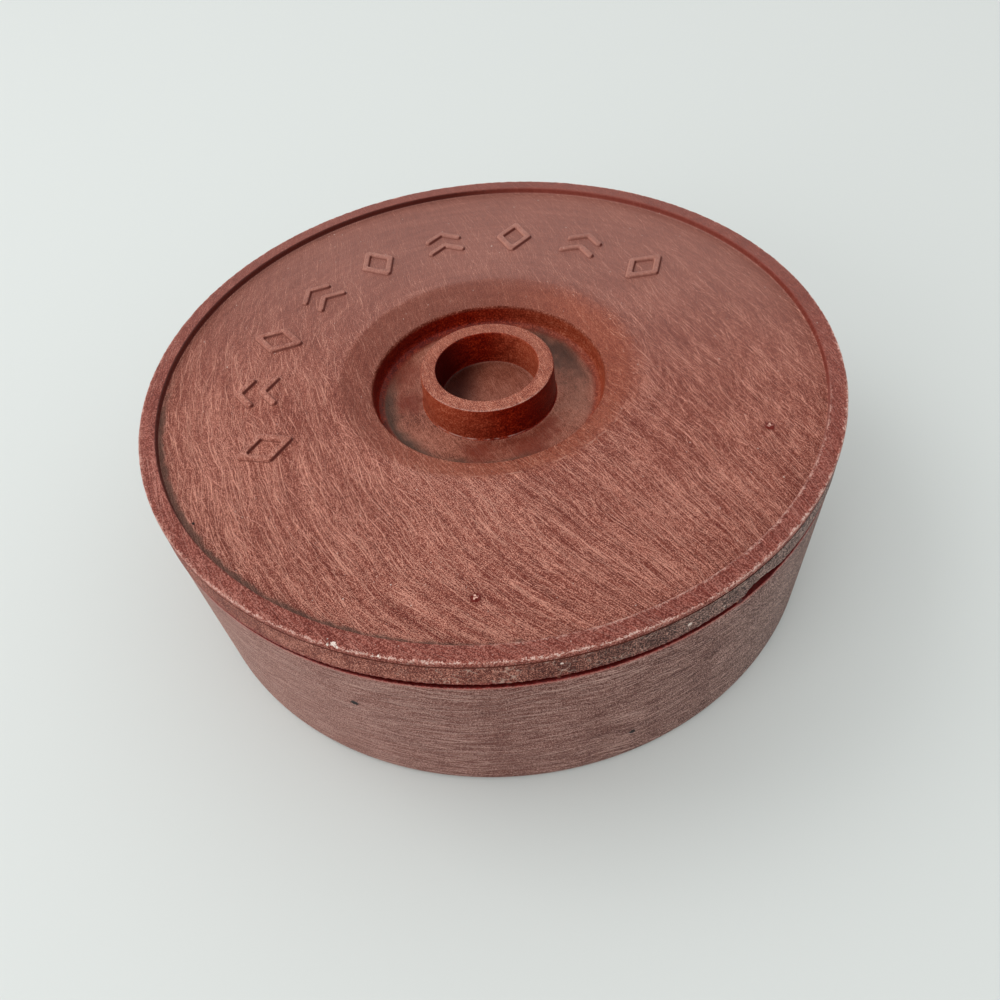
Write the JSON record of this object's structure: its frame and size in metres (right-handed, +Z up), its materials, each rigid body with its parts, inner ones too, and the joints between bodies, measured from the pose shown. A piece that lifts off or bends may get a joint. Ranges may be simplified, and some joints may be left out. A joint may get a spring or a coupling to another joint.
{
  "type": "tortilla warmer",
  "caption": "Round lidded keeper in fibre-filled terracotta plastic: an open base holds a stack of warm tortillas, and a lid with a recessed ring handle lifts straight off.",
  "frame": {"origin": "middle of the flat ring that the base stands on", "axes": "+Z up along the axis of the bowl, +Y towards the middle of the arc of raised ornament on the lid"},
  "size_m": [0.216, 0.216, 0.0695],
  "materials": {
    "base_plastic": "fibre-filled, streaked and dull",
    "lid_plastic": "fibre-filled, streaked, with a low sheen"
  },
  "bodies": {
    "base": {"base": "base_plastic"},
    "lid": {"lid": "lid_plastic"}
  },
  "joints": [
    {"name": "lid_lift", "type": "slide", "parent": "base", "child": "lid", "axis": [0, 0, 1], "range_m": [0, 0.12]}
  ]
}
